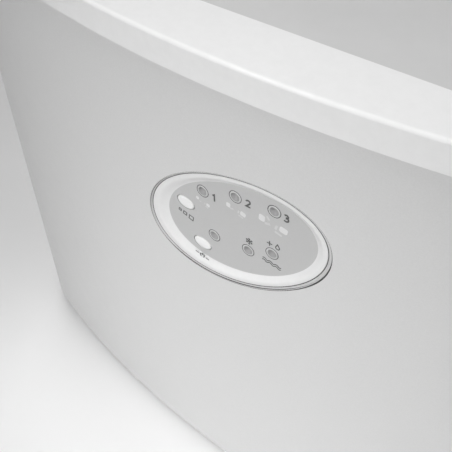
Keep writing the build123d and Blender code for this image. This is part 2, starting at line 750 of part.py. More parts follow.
# lift-out ice basket with drain slots
basket_corner = 8.0
basket_slots = 11
basket_slot_pitch = 2 * (basket_half - 32.5) / (basket_slots - 1)
basket_inside = (2 * basket_half - 2 * basket_wall, basket_depth - 2 * basket_wall)
with BuildPart() as ice_basket:
    with BuildSketch(Plane.XY.offset(basket_floor)):
        with Locations((0, basket_y)):
            RectangleRounded(2 * basket_half, basket_depth, basket_corner)
    extrude(amount=basket_height)
    with BuildSketch(Plane.XY.offset(basket_floor + basket_wall)):
        with Locations((0, basket_y)):
            RectangleRounded(*basket_inside, basket_corner - basket_wall)
    extrude(amount=basket_height, mode=Mode.SUBTRACT)
    with BuildSketch(Plane.XY.offset(basket_floor)):
        with Locations((0, basket_y)):
            with GridLocations(basket_slot_pitch, 0, basket_slots, 1):
                SlotOverall(basket_depth - 20.0, 5.0, rotation=90)
    extrude(amount=basket_wall, mode=Mode.SUBTRACT)
ice_basket.part.label = "ice_basket"
export_step(ice_basket.part, "parts/ice_basket.step")

# cold bar with its row of freezing fingers
finger_pitch = 2 * (manifold_half - finger_margin) / (finger_count - 1)
finger_spots = [((i - (finger_count - 1) / 2) * finger_pitch, axis_y) for i in range(finger_count)]
with BuildPart() as evaporator_manifold:
    with BuildSketch(Plane.XY.offset(manifold_bottom)):
        with Locations((0, axis_y)):
            Rectangle(2 * manifold_half, manifold_side)
    extrude(amount=manifold_side)
    fillet(evaporator_manifold.edges().filter_by(Axis.X).group_by(Axis.Z)[-1], 2.0)
evaporator_manifold.part.label = "evaporator_manifold"
export_step(evaporator_manifold.part, "parts/evaporator_manifold.step")

with BuildPart() as evaporator_fingers:
    with BuildSketch(Plane.XY.offset(manifold_bottom)):
        with Locations(*finger_spots):
            Circle(finger_radius)
    extrude(amount=-finger_length)
    fillet(evaporator_fingers.edges().group_by(Axis.Z)[0], finger_radius * 0.9)
evaporator_fingers.part.label = "evaporator_fingers"
export_step(evaporator_fingers.part, "parts/evaporator_fingers.step")

# two arms from the bin's rear wall that carry the bar
arm_height = 4.5
arm_front = axis_y + manifold_side / 2
arm_rear = bin_rear - bin_wall
with BuildPart() as evaporator_brackets:
    with BuildSketch(Plane.XY.offset(manifold_bottom + manifold_side - 2.0)):
        with Locations((-bracket_x, (arm_front + arm_rear) / 2), (bracket_x, (arm_front + arm_rear) / 2)):
            Rectangle(16.0, arm_rear - arm_front)
    extrude(amount=-arm_height)
evaporator_brackets.part.label = "evaporator_brackets"
export_step(evaporator_brackets.part, "parts/evaporator_brackets.step")

# half-round freezing tray that tips on two stubs
with BuildPart() as water_tray:
    with BuildSketch(Plane.YZ.offset(-tray_half)):
        with Locations((axis_y, axis_z)):
            Circle(tray_radius)
        with Locations((axis_y, axis_z + tray_radius)):
            Rectangle(4 * tray_radius, 2 * tray_radius, mode=Mode.SUBTRACT)
    extrude(amount=2 * tray_half)
    with BuildSketch(Plane.YZ.offset(-tray_half + tray_wall)):
        with Locations((axis_y, axis_z)):
            Circle(tray_radius - tray_wall)
    extrude(amount=2 * tray_half - 2 * tray_wall, mode=Mode.SUBTRACT)
    for end in (-1, 1):
        with BuildSketch(Plane.YZ.offset(end * (tray_half - tray_wall / 2) - tray_wall / 2)):
            with Locations((axis_y, axis_z)):
                Circle(2 * stub_radius)
        extrude(amount=tray_wall)
        with BuildSketch(Plane.YZ.offset(end * (tray_half + stub_length / 2) - stub_length / 2)):
            with Locations((axis_y, axis_z)):
                Circle(stub_radius)
        extrude(amount=stub_length)
water_tray.part.label = "water_tray"
export_step(water_tray.part, "parts/water_tray.step")

# bearing block and gear motor of the tray, on the bin's side walls
block_inner = tray_half + bearing_gap
block_side = 16.0
motor_width = 30.0
motor_height = 34.0
motor_corner = 4.0
block_outer = bin_half - bin_wall
with BuildPart() as tray_bearing:
    with BuildSketch(Plane.YZ.offset(-block_outer)):
        with Locations((axis_y, axis_z)):
            Rectangle(block_side, block_side)
            Circle(stub_radius + stub_fit, mode=Mode.SUBTRACT)
    extrude(amount=block_outer - block_inner)
tray_bearing.part.label = "tray_bearing"
export_step(tray_bearing.part, "parts/tray_bearing.step")

with BuildPart() as tray_motor:
    with BuildSketch(Plane.YZ.offset(block_inner)):
        with Locations((axis_y, axis_z)):
            RectangleRounded(motor_width, motor_height, motor_corner)
    extrude(amount=block_outer - block_inner)
    with BuildSketch(Plane.YZ.offset(block_inner)):
        with Locations((axis_y, axis_z)):
            Circle(stub_radius + stub_fit)
    extrude(amount=stub_length, mode=Mode.SUBTRACT)
tray_motor.part.label = "tray_motor"
export_step(tray_motor.part, "parts/tray_motor.step")

# water pump on the bin floor and its hose up to the tray
outlet_y = pump_y + 6.0
outlet_top = bin_floor + pump_height + 6.0
with BuildPart() as water_pump:
    with BuildSketch(Plane.XY.offset(bin_floor)):
        with Locations((pump_x, pump_y)):
            Circle(pump_radius)
    extrude(amount=pump_height)
    fillet(water_pump.edges().group_by(Axis.Z)[-1], 3.0)
    with BuildSketch(Plane.XY.offset(bin_floor + pump_height)):
        with Locations((pump_x, outlet_y)):
            Circle(hose_radius)
    extrude(amount=outlet_top - bin_floor - pump_height)
    with BuildSketch(Plane.XY.offset(outlet_top)):
        with Locations((pump_x, outlet_y)):
            Circle(hose_bore)
    extrude(amount=-8.0, mode=Mode.SUBTRACT)
water_pump.part.label = "water_pump"
export_step(water_pump.part, "parts/water_pump.step")

hose_rise = 8.0
hose_top = manifold_bottom + manifold_side + hose_rise
hose_end_x = -tray_half + 4.0
with BuildPart() as pump_hose:
    with BuildLine() as hose_line:
        hose_route = FilletPolyline(
            (pump_x, outlet_y, outlet_top),
            (pump_x, outlet_y, hose_top),
            (hose_end_x, outlet_y, hose_top),
            (hose_end_x, outlet_y, hose_top - 10.5),
            radius=9.0,
        )
    with BuildSketch(Plane(origin=hose_route @ 0, z_dir=hose_route % 0)):
        Circle(hose_radius)
        Circle(hose_bore, mode=Mode.SUBTRACT)
    sweep(path=hose_line.line)
pump_hose.part.label = "pump_hose"
export_step(pump_hose.part, "parts/pump_hose.step")

# level float on its stem
stem_flange = 1.5
stem_height = stem_flange + float_height + float_travel + 8.0
with BuildPart() as level_stem:
    with BuildSketch(Plane.XY.offset(bin_floor)):
        with Locations((float_x, axis_y)):
            Circle(3 * stem_radius)
    extrude(amount=stem_flange)
    with BuildSketch(Plane.XY.offset(bin_floor)):
        with Locations((float_x, axis_y)):
            Circle(stem_radius)
    extrude(amount=stem_height)
    with BuildSketch(Plane.XY.offset(bin_floor + stem_height)):
        with Locations((float_x, axis_y)):
            Circle(2 * stem_radius)
    extrude(amount=2.0)
level_stem.part.label = "level_stem"
export_step(level_stem.part, "parts/level_stem.step")

with BuildPart() as level_float:
    with BuildSketch(Plane.XY.offset(bin_floor + stem_flange)):
        with Locations((float_x, axis_y)):
            Circle(float_radius)
            Circle(stem_radius + fit_gap + 0.1, mode=Mode.SUBTRACT)
    extrude(amount=float_height)
level_float.part.label = "level_float"
export_step(level_float.part, "parts/level_float.step")

# full-bin sensor pair on the bin's side walls, above the basket
sensor_thick = 5.0
sensor_width = 14.0
sensor_height = 12.0
sensor_rise = 4.0
sensor_x = bin_half - bin_wall - sensor_thick / 2
with BuildPart() as ice_sensors:
    with BuildSketch(Plane.XY.offset(basket_floor + basket_height + sensor_rise)):
        with Locations((-sensor_x, basket_y), (sensor_x, basket_y)):
            Rectangle(sensor_thick, sensor_width)
    extrude(amount=sensor_height)
ice_sensors.part.label = "ice_sensors"
export_step(ice_sensors.part, "parts/ice_sensors.step")

# drain tube from the bin floor to the left side, and its plug
with BuildPart() as drain_tube:
    with BuildLine() as drain_line:
        drain_route = FilletPolyline(
            (drain_x, drain_y, bin_bottom),
            (drain_x, drain_y, drain_z),
            (-side_x, drain_y, drain_z),
            radius=16.0,
        )
    with BuildSketch(Plane(origin=drain_route @ 0, z_dir=drain_route % 0)):
        Circle(drain_radius)
        Circle(drain_bore, mode=Mode.SUBTRACT)
    sweep(path=drain_line.line)
drain_tube.part.label = "drain_tube"
export_step(drain_tube.part, "parts/drain_tube.step")

with BuildPart() as drain_cap:
    with BuildSketch(Plane.YZ.offset(-side_x)):
        with Locations((drain_y, drain_z)):
            Circle(cap_radius)
    extrude(amount=-cap_thick)
    fillet(drain_cap.faces().sort_by(Axis.X)[0].edges(), 0.8)
    with BuildSketch(Plane.YZ.offset(-side_x)):
        with Locations((drain_y, drain_z)):
            Circle(drain_bore - fit_gap)
    extrude(amount=plug_length)
drain_cap.part.label = "drain_cap"
export_step(drain_cap.part, "parts/drain_cap.step")

# compressor on rubber grommets
comp_bottom = pan_top + grommet_height
comp_top = comp_bottom + comp_plate + comp_height
comp_foot = (2 * bolt_x + 2 * grommet_radius, 2 * bolt_y + 2 * grommet_radius)
bolt_spots = [(comp_x + i * bolt_x, comp_y + j * bolt_y) for i in (-1, 1) for j in (-1, 1)]
with BuildPart() as compressor_grommets:
    with BuildSketch(Plane.XY.offset(pan_top)):
        with Locations(*bolt_spots):
            Circle(grommet_radius)
            Circle(bolt_radius + pipe_gap, mode=Mode.SUBTRACT)
    extrude(amount=grommet_height)
compressor_grommets.part.label = "compressor_grommets"
export_step(compressor_grommets.part, "parts/compressor_grommets.step")

with BuildPart() as compressor:
    with BuildSketch(Plane.XY.offset(comp_bottom)):
        with Locations((comp_x, comp_y)):
            RectangleRounded(*comp_foot, grommet_radius - 0.5)
    extrude(amount=comp_plate)
    with BuildSketch(Plane.XY.offset(comp_bottom + comp_plate)):
        with Locations((comp_x, comp_y)):
            Circle(comp_radius)
    extrude(amount=comp_height)
    fillet(compressor.edges().group_by(Axis.Z)[-1], 20.0)
    with BuildSketch(Plane.XY.offset(comp_bottom + comp_plate + comp_height * 0.55)):
        with Locations((comp_x, comp_y)):
            Circle(comp_radius + 1.5)
    extrude(amount=5.0)
    with BuildSketch(Plane.XY.offset(comp_bottom)):
        with Locations(*bolt_spots):
            Circle(bolt_radius + pipe_gap)
    extrude(amount=comp_plate + 8.0, mode=Mode.SUBTRACT)
    with BuildSketch(Plane.XY.offset(comp_bottom + comp_plate)):
        with Locations(*bolt_spots):
            Circle(2 * bolt_radius + pipe_gap)
    extrude(amount=8.0, mode=Mode.SUBTRACT)
compressor.part.label = "compressor"
export_step(compressor.part, "parts/compressor.step")

with BuildPart() as compressor_bolts:
    with BuildSketch(Plane.XY.offset(pan_top)):
        with Locations(*bolt_spots):
            Circle(bolt_radius)
    extrude(amount=grommet_height + comp_plate)
    with BuildSketch(Plane.XY.offset(comp_bottom + comp_plate)):
        with Locations(*bolt_spots):
            RegularPolygon(2 * bolt_radius - 0.4, 6)
    extrude(amount=3.5)
compressor_bolts.part.label = "compressor_bolts"
export_step(compressor_bolts.part, "parts/compressor_bolts.step")

# finned condenser on the pan
with BuildPart() as condenser:
    with BuildSketch(Plane.XY.offset(pan_top)):
        with Locations((cond_x, cond_y)):
            Rectangle(cond_thick, cond_depth)
    extrude(amount=cond_height)
    with BuildSketch(Plane.YZ.offset(cond_x - cond_thick)):
        with Locations((cond_y, pan_top + cond_height / 2)):
            with GridLocations(0, cond_pitch, 1, cond_slots):
                Rectangle(cond_depth - 10.0, cond_pitch / 2)
    extrude(amount=2 * cond_thick, mode=Mode.SUBTRACT)
condenser.part.label = "condenser"
export_step(condenser.part, "parts/condenser.step")

# fan shroud against the condenser, with a three-arm motor mount
shroud_x = cond_x + cond_thick / 2
spider_thick = 2.5
spider_x = shroud_x + shroud_thick - spider_thick
arm_length = fan_radius + fan_gap + 2.0
with BuildPart() as fan_shroud:
    with BuildSketch(Plane.YZ.offset(shroud_x)):
        with Locations((cond_y, pan_top + cond_height / 2)):
            Rectangle(cond_depth, cond_height)
        with Locations((cond_y, fan_z)):
            Circle(fan_radius + fan_gap, mode=Mode.SUBTRACT)
    extrude(amount=shroud_thick)
    with BuildSketch(Plane.YZ.offset(spider_x)):
        with Locations((cond_y, fan_z)):
            Circle(motor_radius)
            with PolarLocations(arm_length / 2, 3, 90):
                Rectangle(arm_length, 7.0)
        with Locations((cond_y, fan_z)):
            Circle(pin_radius + fit_gap + 0.1, mode=Mode.SUBTRACT)
    extrude(amount=spider_thick)
fan_shroud.part.label = "fan_shroud"
export_step(fan_shroud.part, "parts/fan_shroud.step")

motor_x = spider_x + spider_thick
shaft_depth = 6.0
with BuildPart() as fan_motor:
    with BuildSketch(Plane.YZ.offset(motor_x)):
        with Locations((cond_y, fan_z)):
            Circle(motor_radius)
    extrude(amount=motor_length)
    with BuildSketch(Plane.YZ.offset(motor_x)):
        with Locations((cond_y, fan_z)):
            Circle(pin_radius + pin_fit)
    extrude(amount=shaft_depth + fit_gap, mode=Mode.SUBTRACT)
fan_motor.part.label = "fan_motor"
export_step(fan_motor.part, "parts/fan_motor.step")

# bladed fan on the motor shaft
hub_radius = 15.0
hub_length = 14.0
hub_x = shroud_x + 4.0
blade_chord = 17.0
blade_sheet = 1.8
blade_pitch = 35.0
blade_root = hub_radius - 2.0
with BuildPart() as fan:
    with BuildSketch(Plane.YZ.offset(hub_x)):
        with Locations((cond_y, fan_z)):
            Circle(hub_radius)
    extrude(amount=hub_length)
    with BuildSketch(Plane.YZ.offset(hub_x + hub_length)):
        with Locations((cond_y, fan_z)):
            Circle(pin_radius)
    extrude(amount=motor_x + shaft_depth - hub_x - hub_length)
    for i in range(fan_blades):
        turn = 2 * math.pi * i / fan_blades
        out = (0, math.cos(turn), math.sin(turn))
        foot = (hub_x + hub_length / 2, cond_y + blade_root * out[1], fan_z + blade_root * out[2])
        with BuildSketch(Plane(origin=foot, x_dir=(1, 0, 0), z_dir=out)):
            Rectangle(blade_chord, blade_sheet, rotation=90 - blade_pitch)
        extrude(amount=fan_radius - blade_root)
fan.part.label = "fan"
export_step(fan.part, "parts/fan.step")

# filter drier and the refrigerant pipes
drier_drop = 14.0
drier_round = 5.0
drier_top = comp_top - drier_drop
drier_bottom = drier_top - drier_length
capillary_drop = 24.0
with BuildPart() as filter_drier:
    with BuildSketch(Plane.XY.offset(drier_top)):
        with Locations((drier_x, drier_y)):
            Circle(drier_radius)
    extrude(amount=-drier_length)
    fillet(filter_drier.edges().group_by(Axis.Z)[0], drier_round)
    fillet(filter_drier.edges().group_by(Axis.Z)[-1], drier_round)
filter_drier.part.label = "filter_drier"
export_step(filter_drier.part, "parts/filter_drier.step")

cond_top = pan_top + cond_height
port_offset = 12.0
discharge_rise = 24.0
liquid_rise = 14.0
pipe_bend = 14.0
port_x = 20.0
port_y = comp_y + port_offset
with BuildPart() as discharge_pipe:
    with BuildLine() as discharge_line:
        discharge_route = FilletPolyline(
            (comp_x - port_x, port_y, comp_top),
            (comp_x - port_x, port_y, comp_top + discharge_rise),
            (cond_x, port_y, comp_top + discharge_rise),
            (cond_x, port_y, cond_top),
            radius=pipe_bend,
        )
    with BuildSketch(Plane(origin=discharge_route @ 0, z_dir=discharge_route % 0)):
        Circle(pipe_radius)
    sweep(path=discharge_line.line)
discharge_pipe.part.label = "discharge_pipe"
export_step(discharge_pipe.part, "parts/discharge_pipe.step")

with BuildPart() as liquid_pipe:
    with BuildLine() as liquid_line:
        liquid_route = FilletPolyline(
            (cond_x, drier_y, cond_top),
            (cond_x, drier_y, comp_top + liquid_rise),
            (drier_x, drier_y, comp_top + liquid_rise),
            (drier_x, drier_y, drier_top),
            radius=pipe_bend,
        )
    with BuildSketch(Plane(origin=liquid_route @ 0, z_dir=liquid_route % 0)):
        Circle(pipe_radius)
    sweep(path=liquid_line.line)
liquid_pipe.part.label = "liquid_pipe"
export_step(liquid_pipe.part, "parts/liquid_pipe.step")

with BuildPart() as capillary_pipe:
    with BuildLine() as capillary_line:
        capillary_route = FilletPolyline(
            (drier_x, drier_y, drier_bottom),
            (drier_x, drier_y, drier_bottom - capillary_drop),
            (-pipe_x, drier_y, drier_bottom - capillary_drop),
            (-pipe_x, drier_y, manifold_middle),
            (-pipe_x, arm_front, manifold_middle),
            radius=pipe_bend,
        )
    with BuildSketch(Plane(origin=capillary_route @ 0, z_dir=capillary_route % 0)):
        Circle(capillary_radius)
    sweep(path=capillary_line.line)
capillary_pipe.part.label = "capillary_pipe"
export_step(capillary_pipe.part, "parts/capillary_pipe.step")

suction_offset = 16.0
suction_bend = 16.0
with BuildPart() as suction_pipe:
    with BuildLine() as suction_line:
        suction_route = FilletPolyline(
            (pipe_x, arm_front, manifold_middle),
            (pipe_x, comp_y - suction_offset, manifold_middle),
            (pipe_x, comp_y - suction_offset, comp_top),
            radius=suction_bend,
        )
    with BuildSketch(Plane(origin=suction_route @ 0, z_dir=suction_route % 0)):
        Circle(suction_radius)
    sweep(path=suction_line.line)
suction_pipe.part.label = "suction_pipe"
export_step(suction_pipe.part, "parts/suction_pipe.step")

# power board on a bent bracket at the left
bracket_side_gap = 24.7
bracket_plate_x = -side_x + bracket_side_gap
bracket_sheet = 1.5
board_rear_gap = 59.0
board_y = rear_y - board_rear_gap
board_width = 86.0
board_height = 72.0
board_z = 80.0
standoff = 6.0
standoff_radius = 3.0
bracket_foot = 16.0
bracket_margin = 4.0
standoff_inset = 7.0
standoff_y = board_width / 2 - standoff_inset
standoff_z = board_height / 2 - standoff_inset
standoff_spots = [(board_y + i * standoff_y, board_z + j * standoff_z) for i in (-1, 1) for j in (-1, 1)]
with BuildPart() as board_bracket:
    with BuildSketch(Plane.XY.offset(pan_top)):
        with Locations((bracket_plate_x + bracket_foot / 2, board_y)):
            Rectangle(bracket_foot, board_width + 2 * bracket_margin)
    extrude(amount=bracket_sheet)
    with BuildSketch(Plane.XY.offset(pan_top)):
        with Locations((bracket_plate_x + bracket_sheet / 2, board_y)):
            Rectangle(bracket_sheet, board_width + 2 * bracket_margin)
    extrude(amount=board_z + board_height / 2 + bracket_margin - pan_top)
    with BuildSketch(Plane.YZ.offset(bracket_plate_x + bracket_sheet)):
        with Locations(*standoff_spots):
            Circle(standoff_radius)
    extrude(amount=standoff)
board_bracket.part.label = "board_bracket"
export_step(board_bracket.part, "parts/board_bracket.step")

board_face = bracket_plate_x + bracket_sheet + standoff
coil_side = 26.0
coil_offset = 22.0
part_rise = 14.0
relay_width = 18.0
relay_height = 16.0
relay_offset = 20.0
relay_drop = 7.0
relay_tall = 18.0
can_radius = 6.0
can_drop = 20.0
can_offsets = [28.0, 10.0]
can_tall = 20.0
with BuildPart() as main_board:
    with BuildSketch(Plane.YZ.offset(board_face)):
        with Locations((board_y, board_z)):
            Rectangle(board_width, board_height)
    extrude(amount=board_sheet)
    with BuildSketch(Plane.YZ.offset(board_face + board_sheet)):
        with Locations((board_y - coil_offset, board_z + part_rise)):
            Rectangle(coil_side, coil_side)
        with Locations(*[(board_y + relay_offset, board_z + z) for z in (part_rise, -relay_drop)]):
            Rectangle(relay_width, relay_height)
    extrude(amount=relay_tall)
    with BuildSketch(Plane.YZ.offset(board_face + board_sheet)):
        with Locations(*[(board_y - x, board_z - can_drop) for x in can_offsets]):
            Circle(can_radius)
    extrude(amount=can_tall)
main_board.part.label = "main_board"
export_step(main_board.part, "parts/main_board.step")
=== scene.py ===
import math
import bpy
import bmesh
from mathutils import Matrix, Vector


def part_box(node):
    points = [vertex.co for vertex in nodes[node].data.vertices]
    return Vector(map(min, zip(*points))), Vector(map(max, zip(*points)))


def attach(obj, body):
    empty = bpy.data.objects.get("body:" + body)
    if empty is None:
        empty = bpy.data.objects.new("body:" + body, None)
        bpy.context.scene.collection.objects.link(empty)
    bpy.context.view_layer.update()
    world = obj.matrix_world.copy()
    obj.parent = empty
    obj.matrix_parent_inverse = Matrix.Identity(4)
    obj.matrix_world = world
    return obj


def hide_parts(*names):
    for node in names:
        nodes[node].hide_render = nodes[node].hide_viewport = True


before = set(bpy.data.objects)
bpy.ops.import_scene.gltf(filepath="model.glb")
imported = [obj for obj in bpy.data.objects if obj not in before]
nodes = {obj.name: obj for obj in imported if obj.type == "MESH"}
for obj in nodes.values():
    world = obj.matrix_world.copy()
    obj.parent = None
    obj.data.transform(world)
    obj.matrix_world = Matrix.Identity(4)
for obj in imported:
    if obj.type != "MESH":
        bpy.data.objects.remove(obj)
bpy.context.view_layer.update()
print("frame loaded:", len(nodes), "CAD nodes")

mm = 0.001


# grey level as it reads on screen, turned into the linear colour that shaders take
def grey(level, warm=0.0):
    v = level / 255.0
    lin = v / 12.92 if v <= 0.04045 else ((v + 0.055) / 1.055) ** 2.4
    return (lin * (1 + warm), lin, lin * (1 - warm), 1.0)


# what every grained finish shares: lacquer roughness, grain and the slow patches in its sheen
grainSet = {
    "coatRough": 0.08,
    "detail": 4.0,
    "mix": 0.6,
    "stops": (0.3, 0.7),
    "patchSize": 12,
    "patchDetail": 2.0,
    "patchMix": 0.55,
    "sheenSpread": 0.07,
}


def newFinish(name, colour, rough, metal=0.0, coat=0.0, specular=0.5):
    mat = bpy.data.materials.new(name)
    mat.use_nodes = True
    shader = mat.node_tree.nodes["Principled BSDF"]
    shader.inputs["Base Color"].default_value = colour
    shader.inputs["Roughness"].default_value = rough
    shader.inputs["Metallic"].default_value = metal
    shader.inputs["Coat Weight"].default_value = coat
    shader.inputs["Coat Roughness"].default_value = grainSet["coatRough"]
    shader.inputs["Specular IOR Level"].default_value = specular
    return mat, mat.node_tree, shader


def noiseAt(tree, scale, detail, mix):
    place = tree.nodes.new("ShaderNodeTexCoord")
    noise = tree.nodes.new("ShaderNodeTexNoise")
    noise.inputs["Scale"].default_value = scale
    noise.inputs["Detail"].default_value = detail
    noise.inputs["Roughness"].default_value = mix
    tree.links.new(place.outputs["Object"], noise.inputs["Vector"])
    return noise


def rampOf(tree, source, stops):
    ramp = tree.nodes.new("ShaderNodeValToRGB")
    first, last = ramp.color_ramp.elements
    first.position, first.color = stops[0]
    last.position, last.color = stops[-1]
    for at, colour in stops[1:-1]:
        ramp.color_ramp.elements.new(at).color = colour
    tree.links.new(source, ramp.inputs["Fac"])
    return ramp


def bumpFrom(tree, shader, height, strength, distance):
    bump = tree.nodes.new("ShaderNodeBump")
    bump.inputs["Strength"].default_value = strength
    bump.inputs["Distance"].default_value = distance
    tree.links.new(height, bump.inputs["Height"])
    tree.links.new(bump.outputs["Normal"], shader.inputs["Normal"])


# moulded or plated surface: two close tones, a grain and a roughness that wanders
def grained(name, dark, light, rough, grain, bump, depth, metal=0.0, coat=0.0):
    g = grainSet
    low, high = g["stops"]
    mat, tree, shader = newFinish(name, light, rough, metal, coat)
    noise = noiseAt(tree, grain, g["detail"], g["mix"])
    tones = rampOf(tree, noise.outputs["Fac"], [(low, dark), (high, light)])
    tree.links.new(tones.outputs["Color"], shader.inputs["Base Color"])
    patches = noiseAt(tree, grain / g["patchSize"], g["patchDetail"], g["patchMix"])
    smooth, dull = rough * (1 - g["sheenSpread"]), rough * (1 + g["sheenSpread"])
    sheenStops = [(low, (smooth, smooth, smooth, 1)), (high, (dull, dull, dull, 1))]
    sheen = rampOf(tree, patches.outputs["Fac"], sheenStops)
    tree.links.new(sheen.outputs["Color"], shader.inputs["Roughness"])
    bumpFrom(tree, shader, noise.outputs["Fac"], bump, depth)
    return mat


shellPaint = grained("shellPaint", grey(203), grey(208), rough=0.40, grain=1700, bump=0.03, depth=0.0002)
lidGloss = grained(
    "lidGloss", grey(229), grey(232), rough=0.1, grain=240, bump=0.01, depth=0.0003, coat=0.25,
)
innerWhite = grained("innerWhite", grey(224), grey(230), rough=0.38, grain=600, bump=0.03, depth=0.0002)
smokeSheet = grained("smokeSheet", grey(196), grey(199), rough=0.14, grain=60, bump=0.004, depth=0.0003)
dishWhite = grained("dishWhite", grey(220), grey(223), rough=0.34, grain=500, bump=0.01, depth=0.0002)
# the trim's grey: the shell's grey darkened as painted shade of the hole's wall
rimShadedGrey = grained("rimShadedGrey", grey(186), grey(191), rough=0.3, grain=900, bump=0.02, depth=0.0002)
# near black for the seams round the trim: painted shade in the groove and in the shadow gap outside the
# lip
paintedGapShade = grained("paintedGapShade", grey(62), grey(72), rough=0.8, grain=700, bump=0.1, depth=0.0002)
filmGrey = grained("filmGrey", grey(183), grey(187), rough=0.46, grain=2600, bump=0.03, depth=0.0001)
lampPale = grained("lampPale", grey(196), grey(201), rough=0.3, grain=1500, bump=0.02, depth=0.0001)
# the lens bowls' grey: darkened as painted shade of the dimples
lampBowlShade = grained("lampBowlShade", grey(152), grey(158), rough=0.65, grain=1500, bump=0.02, depth=0.0001)
printDark = grained("printDark", grey(78), grey(90), rough=0.5, grain=2600, bump=0.02, depth=0.0001)
printLine = grained("printLine", grey(84), grey(96), rough=0.5, grain=2600, bump=0.02, depth=0.0001)
printWhite = grained("printWhite", grey(212), grey(217), rough=0.45, grain=2600, bump=0.02, depth=0.0001)
printPale = grained("printPale", grey(198), grey(202), rough=0.45, grain=2600, bump=0.02, depth=0.0001)
capWhite = grained(
    "capWhite", grey(226), grey(230), rough=0.2, grain=600, bump=0.01, depth=0.0002, coat=0.4,
)
rubberBlack = grained("rubberBlack", grey(28), grey(40), rough=0.75, grain=700, bump=0.2, depth=0.0003)
zincSteel = grained(
    "zincSteel", grey(140), grey(176), rough=0.35, grain=500, bump=0.06, depth=0.0002, metal=1.0,
)
panSteel = grained(
    "panSteel", grey(150), grey(172), rough=0.42, grain=120, bump=0.05, depth=0.0003, metal=0.9,
)
boardGreen = grained(
    "boardGreen", (0.02, 0.09, 0.04, 1), (0.03, 0.13, 0.06, 1),
    rough=0.45, grain=300, bump=0.04, depth=0.0002,
)
motorGrey = grained("motorGrey", grey(62), grey(74), rough=0.5, grain=900, bump=0.08, depth=0.0002)
switchBlack = grained("switchBlack", grey(30), grey(40), rough=0.45, grain=900, bump=0.06, depth=0.0002)
foamCream = grained(
    "foamCream", grey(222, 0.02), grey(238, 0.02), rough=0.9, grain=420, bump=0.4, depth=0.0006,
)
linerWhite = grained("linerWhite", grey(222), grey(230), rough=0.35, grain=300, bump=0.02, depth=0.0003)
basketPale = grained("basketPale", grey(206), grey(216), rough=0.25, grain=200, bump=0.02, depth=0.0003)
nickelBright = grained(
    "nickelBright", grey(168), grey(186), rough=0.22, grain=400, bump=0.03, depth=0.0002, metal=1.0,
)
copperTube = grained(
    "copperTube", (0.42, 0.18, 0.09, 1), (0.52, 0.24, 0.13, 1),
    rough=0.3, grain=300, bump=0.03, depth=0.0002, metal=1.0,
)
enamelBlack = grained("enamelBlack", grey(24), grey(34), rough=0.3, grain=260, bump=0.05, depth=0.0003)
finAlloy = grained(
    "finAlloy", grey(176), grey(196), rough=0.35, grain=600, bump=0.05, depth=0.0002, metal=0.9,
)
hoseClear = grained("hoseClear", grey(206), grey(216), rough=0.3, grain=400, bump=0.03, depth=0.0002)

finishOf = [
    (shellPaint, ["front_shell", "left_side_panel", "right_side_panel", "rear_panel"]),
    (lidGloss, ["lid_frame", "rear_deck"]),
    (innerWhite, ["top_frame", "lid_inner", "evaporator_brackets", "tray_bearing"]),
    (innerWhite, ["level_stem", "level_float"]),
    (smokeSheet, ["lid_window"]),
    (dishWhite, ["panel_surround"]),
    (rimShadedGrey, ["panel_bezel"]),
    (filmGrey, ["panel_overlay"]),
    (lampPale, ["led_lenses"]),
    (capWhite, ["select_button", "power_button"]),
    (rubberBlack, ["rubber_feet", "cable_gland", "lid_bumpers", "drain_cap", "compressor_grommets"]),
    (zincSteel, ["foot_screws", "housing_screws", "hinge_pins", "panel_screws", "compressor_bolts"]),
    (panSteel, ["base_pan", "board_bracket"]),
    (boardGreen, ["panel_board", "main_board"]),
    (motorGrey, ["tray_motor", "water_pump", "fan_shroud", "fan_motor"]),
    (switchBlack, ["fan", "panel_switches", "ice_sensors"]),
    (foamCream, ["foam_jacket"]),
    (linerWhite, ["inner_liner", "water_tray"]),
    (hoseClear, ["pump_hose", "drain_tube"]),
    (basketPale, ["ice_basket"]),
    (nickelBright, ["evaporator_manifold", "evaporator_fingers"]),
    (copperTube, ["filter_drier", "discharge_pipe", "liquid_pipe", "capillary_pipe", "suction_pipe"]),
    (enamelBlack, ["compressor"]),
    (finAlloy, ["condenser"]),
]
for finish, names in finishOf:
    for name in names:
        mesh = nodes[name].data
        mesh.materials.clear()
        mesh.materials.append(finish)
print("finishes on", sum(len(names) for finish, names in finishOf), "nodes")

# the bowed face and the tilted oval on it; sizes in millimetres, places read from the frame
faceSet = {"bowRadius": 532.0, "tilt": 23.0, "ovalSteps": 180}
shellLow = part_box("front_shell")[0]
bezelLow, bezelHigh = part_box("panel_bezel")
faceY = shellLow[1] / mm
panelX = (bezelLow[0] + bezelHigh[0]) / 2 / mm
panelZ = (bezelLow[2] + bezelHigh[2]) / 2 / mm
tiltCos = math.cos(math.radians(faceSet["tilt"]))
tiltSin = math.sin(math.radians(faceSet["tilt"]))


# a point on the bow at this X and Z, stood proud of the face or, if negative, behind it
def onBow(x, z, proud):
    radius = faceSet["bowRadius"] + proud
    y = faceY + faceSet["bowRadius"] - math.sqrt(radius * radius - x * x)
    return Vector((x * mm, y * mm, z * mm))


# along the oval's long and short halves
def onPanel(u, v, proud):
    return onBow(panelX + u * tiltCos - v * tiltSin, panelZ + u * tiltSin + v * tiltCos, proud)


# level with the face, counted from the oval's centre
def atSpot(dx, dz, proud):
    return onBow(panelX + dx, panelZ + dz, proud)


def meshFrom(name, bm):
    mesh = bpy.data.meshes.new(name)
    bmesh.ops.recalc_face_normals(bm, faces=bm.faces)
    bm.to_mesh(mesh)
    bm.free()
    return mesh


def addPiece(name, mesh, mats, body, smooth=True):
    for mat in mats:
        mesh.materials.append(mat)
    for face in mesh.polygons:
        face.use_smooth = smooth
    piece = bpy.data.objects.new(name, mesh)
    bpy.context.scene.collection.objects.link(piece)
    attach(piece, body)
    return piece


